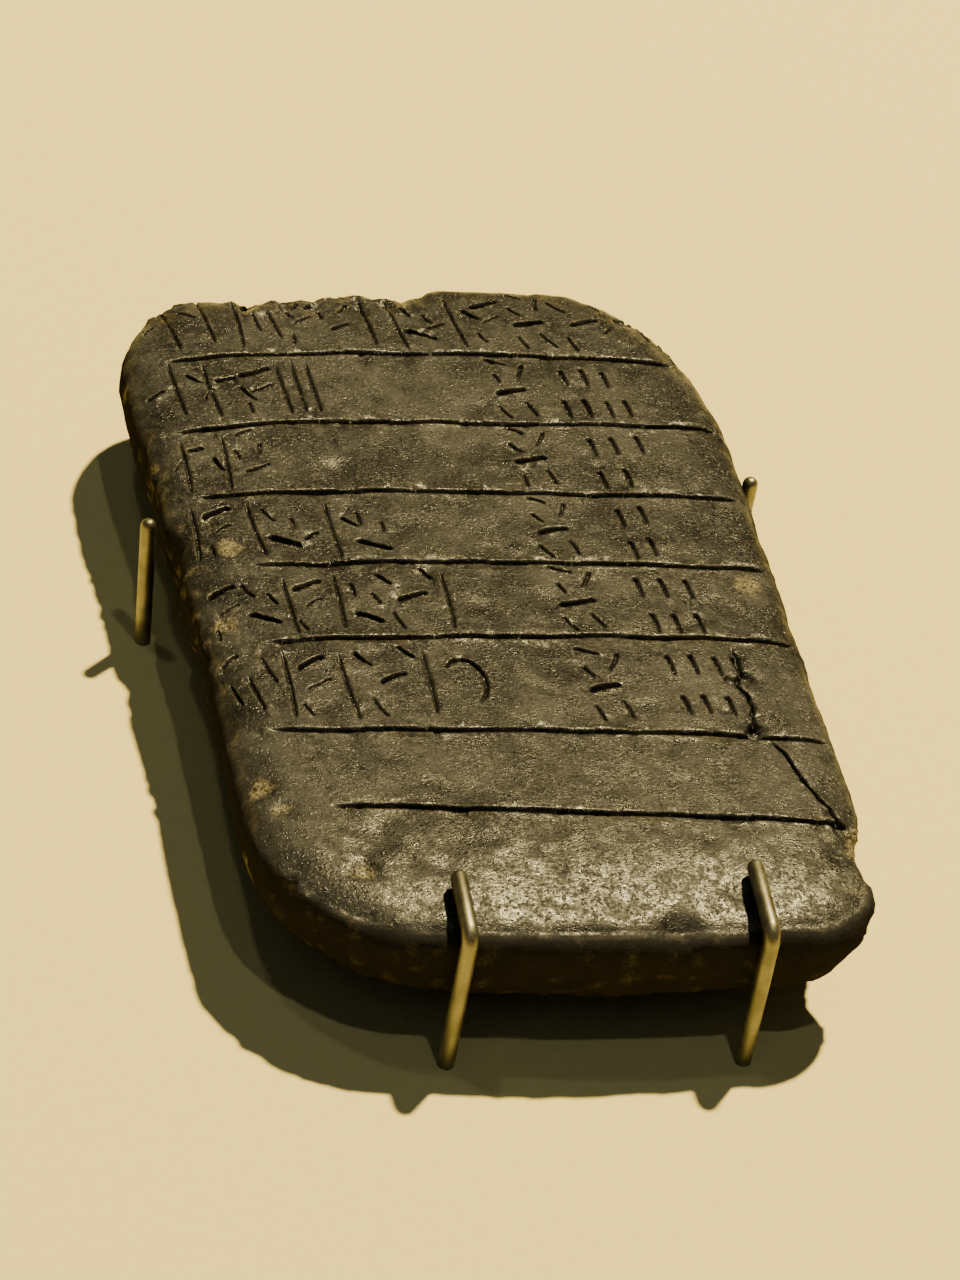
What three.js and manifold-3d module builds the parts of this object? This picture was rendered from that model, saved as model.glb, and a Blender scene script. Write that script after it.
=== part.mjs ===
// An inscribed clay tablet that lies face up on its rounded back, and the four wire pins that hold it in
// place. Millimetres. X runs along the ruled lines, Y from the front edge to the top edge, and Z out of the
// written face.
import * as THREE from "three";
import { mergeVertices } from "three/addons/utils/BufferGeometryUtils.js";
import Module from "manifold-3d";

const wasm = await Module();
wasm.setup();

// The tablet's own sizes
const pageLength = 161;
const pageWidth = 95.4;
const pageThickness = 25.5;
const sideTaper = 2; // how much narrower the page is at its front edge than at its top edge
const leftFlare = 2.2; // how much further the left side stands out near its top
const frontBow = 1.2; // how far the middle of the front edge stands out
const faceCrown = 1.1; // how far the middle of the face stands above its rim
const rimDrop = 3.6; // height of the roll between the face and the flank
const rimRoll = { right: 4, top: 5, left: 7.5, front: 3.2 }; // width of that roll on each side
const bellyRise = 17; // height at which the rounded back has reached the full outline
const coreInset = 33; // from the outline in to the flat of the back, where the tablet rests
const corners = {
  frontRight: { across: 13, along: 18 },
  topRight: { across: 24, along: 42 },
  topLeft: { across: 16, along: 20 },
  frontLeft: { across: 25, along: 27 },
};

// The ruled lines and the strokes pressed between them
const topMargin = 21.9; // from the top edge to the first ruled line
const rowPitches = [19.6, 18.9, 18.3, 18, 18.7, 20.7, 17.5]; // height of each row, from the top
const ruleWidth = 1;
const ruleDepth = 0.8;
const ruleTilts = [0, 0, 0, 0, 0.8, -2.6, -4.6]; // how much higher each line ends than it starts
const ruleDips = [2.5, 2.4, 0.4, 0, 0, 0, 0]; // how far each line's start hangs down over the rim
const dipShare = 0.4; // of the line's length
const ruleStarts = [3.7, 2.4, 3.2, 9.4, 8.4, 6, 12.7]; // from the page's left side to each line
const ruleEnds = [6, 3, 3.4, 3.5, 3.5, 4.4, 3.4]; // from each line to the page's right side
const strokeWidth = 1;
const strokeDepth = 0.7;
const tallyLength = 5.2;
const strokeDrift = 0.5; // how far the ends of a stroke stray from their places in its mark

// The wire pins
const wireRadius = 1.25;
const pinClearance = 0.3; // between a pin and the clay
const fingerLengths = { left: 11, right: 13 }; // the bent part of a clip that lies over the face
const bendRadius = 2.2;
const clipPlaces = { left: -18.8, right: 26 }; // along the front edge
const pegPlaces = { left: 15.5, right: 29.5 }; // along the sides
const pegHeights = { left: 24, right: 22.6 };
const pegLeans = { left: -0.08, right: 0 }; // sideways run for each millimetre of height

const halfWidth = pageWidth / 2;
const halfLength = pageLength / 2;

const step = (low, high, value) => THREE.MathUtils.smoothstep(value, low, high);
// A repeatable number between -1 and 1 for hand-made unevenness.
const uneven = (seed) => 2 * THREE.MathUtils.euclideanModulo(Math.sin(seed * 12.9898) * 43758.5453, 1) - 1;

// The outline is four corners, each a quarter of an ellipse, joined by four sides.
const cornerPoints = 8;
const sidePoints = { right: 15, top: 26, left: 16, front: 11 };

function outline(inset) {
  const width = halfWidth - inset;
  const length = halfLength - inset;
  const most = 0.8; // the share of the half width that one corner may take
  const order = [
    { corner: corners.frontRight, x: 1, y: -1, turn: -Math.PI / 2, side: "right" },
    { corner: corners.topRight, x: 1, y: 1, turn: 0, side: "top" },
    { corner: corners.topLeft, x: -1, y: 1, turn: Math.PI / 2, side: "left" },
    { corner: corners.frontLeft, x: -1, y: -1, turn: Math.PI, side: "front" },
  ];
  const arcs = order.map(({ corner, x, y, turn, side }) => {
    const across = Math.min(corner.across, most * width);
    const along = Math.min(corner.along, most * length);
    const points = [];
    for (let i = 0; i < cornerPoints; i++) {
      const angle = turn + (Math.PI / 2) * (i / (cornerPoints - 1));
      points.push(
        new THREE.Vector2(
          x * (width - across) + across * Math.cos(angle),
          y * (length - along) + along * Math.sin(angle),
        ),
      );
    }
    return { points, side };
  });
  const loop = [];
  arcs.forEach(({ points, side }, k) => {
    loop.push(...points);
    const start = points.at(-1);
    const end = arcs[(k + 1) % arcs.length].points[0];
    const count = sidePoints[side];
    for (let i = 1; i < count; i++) {
      const p = start.clone().lerp(end, i / count);
      if (side === "front") p.y -= frontBow * Math.sin((Math.PI * i) / count);
      loop.push(p);
    }
  });
  return loop;
}

// What has broken off the edges: stretches of the top edge, and the piece lost from the right side near its
// front.
const topLosses = [
  { from: -60, to: -20, depth: 5.4 },
  { from: -20, to: -13.5, depth: 4.3 },
  { from: -13.5, to: -5.5, depth: 1.8 },
  { from: -5.5, to: 3, depth: 3.6 },
  { from: 19, to: 22, depth: 0.7 },
];
const sideLoss = { from: -68, to: -60, depth: 3.2 };
const lossReach = 9; // how far a break runs in over the face and the back
const breakSoftness = 1.3;

function worn(point, inset) {
  const fade = Math.max(0, 1 - inset / lossReach);
  const within = (at, { from, to, depth }) => {
    const entered = step(from - breakSoftness, from + breakSoftness, at);
    const left = step(to - breakSoftness, to + breakSoftness, at);
    return depth * entered * (1 - left);
  };
  const nearTop = step(halfLength / 2, halfLength - corners.topLeft.along, point.y);
  const nearRight = step(0, halfWidth / 2, point.x);
  point.y -= fade * nearTop * topLosses.reduce((sum, loss) => sum + within(point.x, loss), 0);
  point.x -= fade * nearRight * within(point.y, sideLoss);
  const taper = (sideTaper / 2) * (1 - (point.y + halfLength) / pageLength);
  point.x *= 1 - taper / halfWidth;
  const leftness = step(0, halfWidth / 2, -point.x);
  point.x -= leftness * leftFlare * step(-halfLength / 4, 0.7 * halfLength, point.y);
  return point;
}

// Hollows where the flank and the rim have flaked, each a soft dent pushed in from outside.
const flankScars = [
  { x: -halfWidth - 1.3, y: 10, z: 17, radius: 9, depth: 2.2 },
  { x: -halfWidth + 0.2, y: -6, z: 13, radius: 10, depth: 2.4 },
  { x: -halfWidth - 1.3, y: 31, z: 15, radius: 8, depth: 1.4 },
  { x: -halfWidth + 11.7, y: -halfLength + 7, z: 14, radius: 9, depth: 1.2 },
  { x: 12, y: -halfLength - 1, z: 24, radius: 3.4, depth: 1.1 },
  { x: halfWidth - 1.2, y: -halfLength + 16.5, z: 8, radius: 8, depth: 1.6 },
];

function scarred(point) {
  for (const scar of flankScars) {
    const far = point.distanceTo(new THREE.Vector3(scar.x, scar.y, scar.z)) / scar.radius;
    if (far >= 1) continue;
    const inward = new THREE.Vector3(-scar.x, -scar.y * (halfWidth / halfLength), 0).normalize();
    point.addScaledVector(inward, scar.depth * (1 - far * far) ** 2);
  }
  return point;
}

// The body is a stack of rings: up the rounded back, up the flank, over the rim and in across the face.
const edge = outline(0);
const core = outline(coreInset);
const bellyTurns = [90, 70, 52, 36, 20, 0]; // degrees of the curve from the flat up to the flank
const bellyThinning = [10, 5, 2, 2, 1, 1]; // a flat ring needs only every so many of the outline's points
const rimTurns = [24, 48, 72, 90];
const faceShares = [0.16, 0.45, 1]; // of the way from the rim to the core
const faceThinning = [2, 5, 10];
const rimFoot = pageThickness - faceCrown - rimDrop;

// The rim's roll widens and narrows smoothly from side to side.
function rollAt({ x, y }) {
  const sides = [
    [rimRoll.right, Math.max(0, x / halfWidth)],
    [rimRoll.left, Math.max(0, -x / halfWidth)],
    [rimRoll.top, Math.max(0, y / halfLength)],
    [rimRoll.front, Math.max(0, -y / halfLength)],
  ];
  const weights = sides.map(([, nearness]) => nearness ** 6);
  const total = weights.reduce((sum, weight) => sum + weight, 0);
  return sides.reduce((sum, [roll], i) => sum + roll * weights[i], 0) / total;
}

// One ring: insetAt says how far in from the outline it runs at a point of the outline.
function ring(height, insetAt, thinning = 1) {
  return edge.map((_, i) => {
    const index = i - (i % thinning);
    const inset = insetAt(edge[index]);
    const flat = worn(edge[index].clone().lerp(core[index], inset / coreInset), inset);
    return scarred(new THREE.Vector3(flat.x, flat.y, height));
  });
}

const backRings = bellyTurns.map((degrees, i) => {
  const turn = THREE.MathUtils.degToRad(degrees);
  return ring(bellyRise * (1 - Math.sin(turn)), () => coreInset * (1 - Math.cos(turn)), bellyThinning[i]);
});
const faceRings = [
  ring(rimFoot, () => 0),
  ...rimTurns.map((degrees) => {
    const turn = THREE.MathUtils.degToRad(degrees);
    return ring(rimFoot + rimDrop * Math.sin(turn), (p) => rollAt(p) * (1 - Math.cos(turn)));
  }),
  ...faceShares.map((share, i) => {
    const height = rimFoot + rimDrop + faceCrown * (1 - (1 - share) ** 2);
    return ring(height, (p) => THREE.MathUtils.lerp(rollAt(p), coreInset, share), faceThinning[i]);
  }),
];

// Closes rings of equal length into one skin, with a fan over each end. Where a ring's points coincide, the
// triangles between them have no area and are left out.
function skin(rings) {
  const count = rings[0].length;
  const middle = (ring) => ring.reduce((sum, p) => sum.add(p), new THREE.Vector3()).divideScalar(count);
  const points = [...rings.flat(), middle(rings[0]), middle(rings.at(-1))];
  const index = [];
  for (let r = 0; r + 1 < rings.length; r++)
    for (let i = 0; i < count; i++) {
      const a = r * count + i;
      const b = r * count + ((i + 1) % count);
      index.push(a, b, b + count, a, b + count, a + count);
    }
  const last = (rings.length - 1) * count;
  for (let i = 0; i < count; i++) {
    const next = (i + 1) % count;
    index.push(points.length - 2, next, i);
    index.push(points.length - 1, last + i, last + next);
  }
  const geometry = new THREE.BufferGeometry().setFromPoints(points);
  geometry.setIndex(index);
  return welded(geometry);
}

function welded(geometry) {
  const bare = geometry.clone();
  bare.deleteAttribute("normal");
  bare.deleteAttribute("uv");
  const merged = mergeVertices(bare, 1e-4);
  const kept = [];
  const index = merged.index.array;
  for (let i = 0; i < index.length; i += 3) {
    const [a, b, c] = [index[i], index[i + 1], index[i + 2]];
    if (a !== b && b !== c && c !== a) kept.push(a, b, c);
  }
  return merged.setIndex(kept);
}

function solidOf(geometry) {
  const merged = welded(geometry);
  return new wasm.Manifold(
    new wasm.Mesh({
      numProp: 3,
      vertProperties: new Float32Array(merged.attributes.position.array),
      triVerts: new Uint32Array(merged.index.array),
    }),
  );
}

function geometryOf(solid) {
  const mesh = solid.getMesh();
  const geometry = new THREE.BufferGeometry();
  geometry.setAttribute("position", new THREE.BufferAttribute(new Float32Array(mesh.vertProperties), 3));
  geometry.setIndex(new THREE.BufferAttribute(new Uint32Array(mesh.triVerts), 1));
  geometry.computeVertexNormals();
  return geometry;
}

const bothSides = new THREE.MeshBasicMaterial({ side: THREE.DoubleSide });
const body = new THREE.Mesh(skin([...backRings, ...faceRings]), bothSides);
const face = new THREE.Mesh(skin(faceRings), bothSides);
const feeler = new THREE.Raycaster();

// Where a line from a point in a direction first meets a surface.
function meets(surface, origin, direction) {
  feeler.set(origin, direction);
  return feeler.intersectObject(surface)[0]?.point;
}

const overhead = 2 * pageThickness;
const faceHeight = (x, y) => meets(face, new THREE.Vector3(x, y, overhead), new THREE.Vector3(0, 0, -1))?.z;

// A groove is a V that follows the face along a path, shallow and narrow at both ends like a stylus stroke.
const cutterRise = 2; // how far a cutting wedge stands above the face
function groove(path, width, depth, endShare) {
  const on = path.map((p) => ({ p, height: faceHeight(p.x, p.y) })).filter(({ height }) => height > rimFoot);
  if (on.length < 2) return null;
  const rings = on.map(({ p, height }, i) => {
    const ahead = on[Math.min(i + 1, on.length - 1)].p.clone().sub(on[Math.max(i - 1, 0)].p).normalize();
    const full = i === 0 || i === on.length - 1 ? endShare : 1;
    const deep = depth * full;
    const half = ((width * full) / 2) * ((deep + cutterRise) / deep);
    return [
      new THREE.Vector3(p.x - ahead.y * half, p.y + ahead.x * half, height + cutterRise),
      new THREE.Vector3(p.x + ahead.y * half, p.y - ahead.x * half, height + cutterRise),
      new THREE.Vector3(p.x, p.y, height - deep),
    ];
  });
  return solidOf(skin(rings));
}

const ruleY = (line) => halfLength - topMargin - rowPitches.slice(1, line + 1).reduce((sum, h) => sum + h, 0);
const ruleSteps = 7;
function ruledLine(line) {
  const start = -halfWidth + ruleStarts[line];
  const end = halfWidth - ruleEnds[line];
  const path = [];
  for (let i = 0; i <= ruleSteps; i++) {
    const share = i / ruleSteps;
    const waver = 0.25 * uneven(line * ruleSteps + i);
    const dip = ruleDips[line] * Math.max(0, 1 - share / dipShare) ** 2;
    const y = ruleY(line) + ruleTilts[line] * share - dip + waver;
    path.push(new THREE.Vector2(THREE.MathUtils.lerp(start, end, share), y));
  }
  return groove(path, ruleWidth, ruleDepth, 0.4);
}

// The strokes are generic marks. Each mark is a few strokes in a box, and each stroke is given as
// [from across, from up, to across, to up, weight], with across in millimetres from the mark's place and up
// as a share of the row's height.
const marks = {
  post: [[0, 0.86, 0.6, 0.08, 0.7]],
  notchedPost: [
    [0, 0.92, 0.6, 0.08, 0.7],
    [-4.6, 0.36, -1.9, 0.47, 1],
    [2.3, 0.68, 4.4, 0.54, 0.9],
  ],
  bars: [
    [-2.8, 0.66, 2.4, 0.8, 1.4],
    [-1.4, 0.44, 2, 0.56, 0.7],
    [-2.6, 0.3, -1.8, 0.14, 0.6],
  ],
  lowBars: [
    [-2.8, 0.36, 2.4, 0.22, 1.4],
    [-2.4, 0.76, -1.2, 0.56, 0.6],
    [1, 0.62, 2.2, 0.46, 0.7],
  ],
  shower: [
    [-4.2, 0.74, -0.6, 0.86, 1.1],
    [-3.2, 0.56, -2, 0.3, 0.7],
    [-0.2, 0.62, 1, 0.2, 0.7],
    [2.4, 0.84, 3.6, 0.5, 0.6],
  ],
  spray: [
    [-4.6, 0.86, -2.4, 0.7, 0.9],
    [4.4, 0.78, 2.2, 0.92, 0.9],
    [-2.2, 0.5, 3.2, 0.62, 1.3],
    [-3.2, 0.36, -2.2, 0.12, 0.7],
  ],
  knot: [
    [-2, 0.84, 1.6, 0.92, 0.8],
    [-2.8, 0.66, -1.6, 0.5, 0.7],
    [2.6, 0.74, 1.2, 0.58, 0.8],
    [-1, 0.34, 2.4, 0.44, 1],
  ],
  steps: [
    [-4, 0.34, -2.2, 0.5, 0.8],
    [-1.6, 0.6, 1.4, 0.64, 1],
    [2.4, 0.52, 3.8, 0.3, 0.8],
  ],
  sheaf: [
    [-3.2, 0.93, 0.4, 0.85, 0.9],
    [3, 0.88, 1.7, 0.66, 0.8],
    [-2.6, 0.72, -1.4, 0.58, 0.8],
    [-3.3, 0.42, 3, 0.5, 1.5],
    [-2.8, 0.28, -1.6, 0.08, 0.7],
    [1.4, 0.34, 3.2, 0.12, 0.7],
  ],
};
const rows = [
  [["notchedPost", -41], ["post", -35], ["post", -30], ["shower", -24], ["bars", -19],
   ["knot", -13.5], ["post", -8.2], ["post", -3.5], ["lowBars", 0.5], ["notchedPost", 6.5],
   ["bars", 12.8], ["sheaf", 19.4], ["spray", 28.4], ["steps", 36]],
  [["notchedPost", -42.5], ["post", -37], ["steps", -34], ["bars", -29], ["post", -25.3],
   ["post", -22.8], ["post", -20.4], ["sheaf", 12.6]],
  [["steps", -41.5], ["knot", -33.2], ["post", -37.6], ["post", -44], ["sheaf", 12.2]],
  [["bars", -40.5], ["post", -45], ["post", -35.4], ["lowBars", -31], ["notchedPost", -23.5],
   ["lowBars", -17], ["sheaf", 12.2]],
  [["bars", -42.5], ["lowBars", -37], ["post", -33.2], ["bars", -29.4], ["post", -25.6],
   ["lowBars", -21], ["spray", -14], ["post", -8.6], ["sheaf", 12.4]],
  [["shower", -41.5], ["post", -36.4], ["bars", -31.8], ["post", -27.4], ["spray", -20.4],
   ["post", -15], ["curl", -9], ["sheaf", 12.6]],
];
// Tally strokes: places along the row of the upper and the lower line of strokes.
const tallies = [
  { upper: [], lower: [] },
  { upper: [21.6, 25.2, 28.6], lower: [20.6, 24, 27.6, 30.8] },
  { upper: [22.6, 26.3, 30.6], lower: [22.6, 26.8] },
  { upper: [23.4, 27.2], lower: [23.8, 27] },
  { upper: [22.6, 26.5, 30.6], lower: [23.4, 26.8, 30.6] },
  { upper: [23.5, 27.2, 31, 34], lower: [24, 27.2, 31] },
];

// A heavy stroke is deepest a third of the way along, and a light one is as deep all along.
const heavyWeight = 0.8;
function stroke(row, [x, from, toX, to], weight) {
  const rise = (share) => ruleY(row) + rowPitches[row] * share;
  const start = new THREE.Vector2(x, rise(from));
  const end = new THREE.Vector2(toX, rise(to));
  const heavy = weight >= heavyWeight;
  const path = heavy ? [start, start.clone().lerp(end, 0.35), end] : [start, end];
  return groove(path, strokeWidth * weight, strokeDepth * weight, heavy ? 0.3 : 1);
}

// One curl, an open arc, stands by itself at the end of the last written row.
const curlRadius = 5.2;
function curlPath(row, x) {
  const middle = ruleY(row) + rowPitches[row] / 2;
  const path = [];
  for (let degrees = 150; degrees >= -70; degrees -= 27.5) {
    const turn = THREE.MathUtils.degToRad(degrees);
    path.push(new THREE.Vector2(x + 0.6 * curlRadius * Math.cos(turn), middle + curlRadius * Math.sin(turn)));
  }
  return path;
}

function inscription() {
  const cuts = [];
  rows.forEach((signs, row) => {
    signs.forEach(([name, x], place) => {
      if (name === "curl") {
        cuts.push(groove(curlPath(row, x), strokeWidth, strokeDepth, 0.5));
        return;
      }
      const shift = 0.04 * uneven(row * 31 + place);
      marks[name].forEach(([x0, y0, x1, y1, weight], n) => {
        const drift = strokeDrift * uneven(row * 57 + place * 7 + n);
        cuts.push(stroke(row, [x + x0 + drift, y0 + shift, x + x1 - drift, y1 + shift], weight));
      });
    });
    const drop = tallyLength / rowPitches[row];
    for (const [places, share] of [[tallies[row].upper, 0.84], [tallies[row].lower, 0.38]])
      places.forEach((x, place) => {
        const top = share + 0.04 * uneven(row * 17 + place);
        cuts.push(stroke(row, [x, top, x + 0.6, top - drop], 1));
      });
  });
  return cuts;
}

// Old breaks that were glued, and the small pits along them.
const crackWidth = 0.9;
const crackDepth = 0.9;
const cracks = [
  [[35, -15.7], [34.6, -23], [33.4, -25.5], [34.8, -29.9], [33.8, -36.1]],
  [[36, -37.9], [38, -46.3], [40, -51.5], [41.6, -56], [42.4, -59]],
];
const pits = [
  { x: 33, y: -24.7, radius: 1.1 },
  { x: 35.4, y: -23.9, radius: 1.3 },
  { x: 33.8, y: -36.5, radius: 1.5 },
  { x: -halfWidth + 15.9, y: -halfLength + 12.6, radius: 1.7 },
];
const pitDepth = 0.9;

function pit({ x, y, radius }) {
  const ball = new THREE.SphereGeometry(radius, 10, 6);
  ball.scale(1, 1, pitDepth / radius);
  ball.translate(x, y, faceHeight(x, y));
  return solidOf(ball);
}

function damage() {
  const along = (crack) => crack.map(([x, y]) => new THREE.Vector2(x, y));
  return [...cracks.map((crack) => groove(along(crack), crackWidth, crackDepth, 0.6)), ...pits.map(pit)];
}

// Joins neighbours two by two until one solid is left.
function join(solids) {
  if (solids.length === 1) return solids[0];
  const half = Math.ceil(solids.length / 2);
  return join(solids.slice(0, half)).add(join(solids.slice(half)));
}

const lines = ruleTilts.map((_, line) => ruledLine(line));
const cuts = [...lines, ...inscription(), ...damage()].filter(Boolean);
const tablet = solidOf(body.geometry).subtract(join(cuts));

// The pins stand upright and end flat at the level on which the tablet rests.
const wireSides = 10;
const wireSection = () => new THREE.Shape(
  Array.from({ length: wireSides }, (_, i) => {
    const turn = (2 * Math.PI * i) / wireSides;
    return new THREE.Vector2(wireRadius * Math.cos(turn), wireRadius * Math.sin(turn));
  }),
);
const standOff = wireRadius + pinClearance;
const levels = [0.3, 0.5, 0.7, 0.85].map((share) => share * pageThickness);

function frontOf(x) {
  const reach = new THREE.Vector3(0, 1, 0);
  return Math.min(
    ...[-wireRadius, 0, wireRadius].flatMap((aside) =>
      levels.map((z) => meets(body, new THREE.Vector3(x + aside, -pageLength, z), reach).y),
    ),
  );
}

function flankOf(side, y) {
  const reach = new THREE.Vector3(-side, 0, 0);
  const outs = [-wireRadius, 0, wireRadius].flatMap((aside) =>
    levels.map((z) => side * meets(body, new THREE.Vector3(side * pageWidth, y + aside, z), reach).x),
  );
  return side * Math.max(...outs);
}

// A clip rises in front of the tablet and is bent over the edge, so that its finger lies just above the face.
function clip(x, fingerLength) {
  const front = frontOf(x) - standOff;
  const tip = front + fingerLength;
  const samples = Array.from({ length: 12 }, (_, i) => THREE.MathUtils.lerp(front + standOff, tip, i / 11));
  const heights = samples.map((y) => faceHeight(x, y)).filter((z) => z !== undefined);
  const height = Math.max(...heights) + standOff;
  const path = new THREE.CurvePath();
  const corner = new THREE.Vector3(x, front, height);
  const under = corner.clone().setZ(height - bendRadius);
  const beyond = corner.clone().setY(front + bendRadius);
  path.add(new THREE.LineCurve3(new THREE.Vector3(x, front, 0), under));
  path.add(new THREE.QuadraticBezierCurve3(under, corner, beyond));
  path.add(new THREE.LineCurve3(beyond, new THREE.Vector3(x, tip, height)));
  const wire = new THREE.ExtrudeGeometry(wireSection(), { steps: 18, extrudePath: path });
  const roundEnd = new THREE.SphereGeometry(wireRadius, wireSides, 6)
    .rotateX(Math.PI / 2)
    .translate(x, tip, height);
  return geometryOf(solidOf(wire).add(solidOf(roundEnd)));
}

// A peg is a straight pin with a rounded top.
function peg(x, y, height, lean) {
  const profile = [new THREE.Vector2(0, 0), new THREE.Vector2(wireRadius, 0)];
  for (let degrees = 0; degrees < 90; degrees += 22.5) {
    const turn = THREE.MathUtils.degToRad(degrees);
    profile.push(
      new THREE.Vector2(wireRadius * Math.cos(turn), height - wireRadius * (1 - Math.sin(turn))),
    );
  }
  profile.push(new THREE.Vector2(0, height));
  const leaning = new THREE.Matrix4().makeShear(0, 0, 0, 0, lean, 0);
  const shape = new THREE.LatheGeometry(profile, wireSides).rotateX(Math.PI / 2);
  return shape.applyMatrix4(leaning).translate(x, y, 0);
}

const clay = new THREE.MeshStandardMaterial({ color: 0x5a5140, roughness: 0.55, metalness: 0 });
const wireMetal = new THREE.MeshStandardMaterial({ color: 0xb5a47a, roughness: 0.35, metalness: 1 });

const group = new THREE.Group();
function addPiece(name, geometry, material) {
  const mesh = new THREE.Mesh(geometry, material);
  mesh.name = name;
  group.add(mesh);
}

addPiece("tablet", geometryOf(tablet), clay);
addPiece("front_left_clip", clip(clipPlaces.left, fingerLengths.left), wireMetal);
addPiece("front_right_clip", clip(clipPlaces.right, fingerLengths.right), wireMetal);
const leftPegX = flankOf(-1, pegPlaces.left) - standOff;
const rightPegX = flankOf(1, pegPlaces.right) + standOff;
addPiece("left_peg", peg(leftPegX, pegPlaces.left, pegHeights.left, pegLeans.left), wireMetal);
addPiece("right_peg", peg(rightPegX, pegPlaces.right, pegHeights.right, pegLeans.right), wireMetal);

// The origin is the middle of the space that the whole thing takes, at the level it rests on.
const space = new THREE.Box3().setFromObject(group);
const middle = space.getCenter(new THREE.Vector3());
group.position.set(-middle.x, -middle.y, -space.min.z);

export default group;
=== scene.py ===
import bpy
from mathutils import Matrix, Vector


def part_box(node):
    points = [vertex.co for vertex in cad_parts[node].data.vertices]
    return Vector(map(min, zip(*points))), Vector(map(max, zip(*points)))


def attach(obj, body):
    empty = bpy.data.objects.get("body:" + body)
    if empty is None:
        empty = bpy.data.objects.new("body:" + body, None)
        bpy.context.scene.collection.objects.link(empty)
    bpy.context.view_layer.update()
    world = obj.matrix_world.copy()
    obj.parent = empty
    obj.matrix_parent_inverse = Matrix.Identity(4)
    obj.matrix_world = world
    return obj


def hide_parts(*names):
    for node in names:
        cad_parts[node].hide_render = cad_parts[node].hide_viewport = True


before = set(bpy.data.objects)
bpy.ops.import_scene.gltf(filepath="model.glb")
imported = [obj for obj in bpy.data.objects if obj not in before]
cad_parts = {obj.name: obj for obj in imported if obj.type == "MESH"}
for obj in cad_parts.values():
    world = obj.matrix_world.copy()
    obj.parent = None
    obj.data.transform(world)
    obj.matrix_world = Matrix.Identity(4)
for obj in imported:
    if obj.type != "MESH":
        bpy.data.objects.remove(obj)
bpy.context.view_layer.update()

import math

import bpy
import numpy as np
from mathutils import Matrix, Vector, noise


# The camera stands at the photograph's angle, turned a little to the left and rolled, with a long lens. Its
# figures were worked out from the ruled page and the feet of the pins.
MM = 0.001
CLIP_X = -18.8  # place of the left clip on the page, in millimetres from the page's middle
PEG_Y = 29.5  # and of the right peg
PAGE_X = (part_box("front_left_clip")[0].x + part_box("front_left_clip")[1].x) / 2 / MM - CLIP_X
PAGE_Y = (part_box("right_peg")[0].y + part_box("right_peg")[1].y) / 2 / MM - PEG_Y


def place_camera(azimuth, elevation, roll, distance, lens, aim):
    a, e, t = (math.radians(v) for v in (azimuth, elevation, roll))
    back = Vector((math.sin(a) * math.cos(e), -math.cos(a) * math.cos(e), math.sin(e)))
    side = Vector((math.cos(a), math.sin(a), 0.0))
    rise = back.cross(side)
    right = side * math.cos(t) + rise * math.sin(t)
    up = rise * math.cos(t) - side * math.sin(t)
    data = bpy.data.cameras.new("photo_camera")
    data.lens = lens
    data.sensor_width = 36.0
    camera = bpy.data.objects.new("photo_camera", data)
    bpy.context.scene.collection.objects.link(camera)
    turned = Matrix((right, up, back)).transposed().to_4x4()
    camera.matrix_world = Matrix.Translation(aim + back * distance) @ turned
    bpy.context.scene.camera = camera


AIM = (5.0, 15.9)  # the place looked at, from the page's middle
aim_point = Vector((PAGE_X + AIM[0], PAGE_Y + AIM[1], 0.0)) * MM
place_camera(azimuth=-17.5, elevation=37.5, roll=11.0, distance=888 * MM, lens=156.66, aim=aim_point)


# The tablet is one slab of clay, shaped by hand, ruled and pressed with a stylus while damp, and burnt dark
# later. It lies loose on its back. Its form comes from the solid, and its strokes, flakes and pits are cut
# here.
def only(thing):
    bpy.ops.object.select_all(action="DESELECT")
    thing.select_set(True)
    bpy.context.view_layer.objects.active = thing


def add_modifier(thing, kind, **settings):
    modifier = thing.modifiers.new(kind.lower(), kind)
    for key, value in settings.items():
        setattr(modifier, key, value)
    only(thing)
    bpy.ops.object.modifier_apply(modifier=modifier.name)


def copy_of_node(node, name):
    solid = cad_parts[node]
    copy = bpy.data.objects.new(name, solid.data.copy())
    bpy.context.scene.collection.objects.link(copy)
    copy.data.materials.clear()
    only(copy)
    bpy.ops.object.mode_set(mode="EDIT")
    bpy.ops.mesh.select_all(action="SELECT")
    bpy.ops.mesh.remove_doubles(threshold=0.002 * MM)
    bpy.ops.object.mode_set(mode="OBJECT")
    return copy


tablet = copy_of_node("tablet", "clay_tablet")
GRAIN = 1.3  # spacing of the even mesh, in millimetres
add_modifier(tablet, "REMESH", mode="VOXEL", voxel_size=GRAIN * MM, adaptivity=0.0)
add_modifier(tablet, "SMOOTH", factor=0.5, iterations=3)

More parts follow.
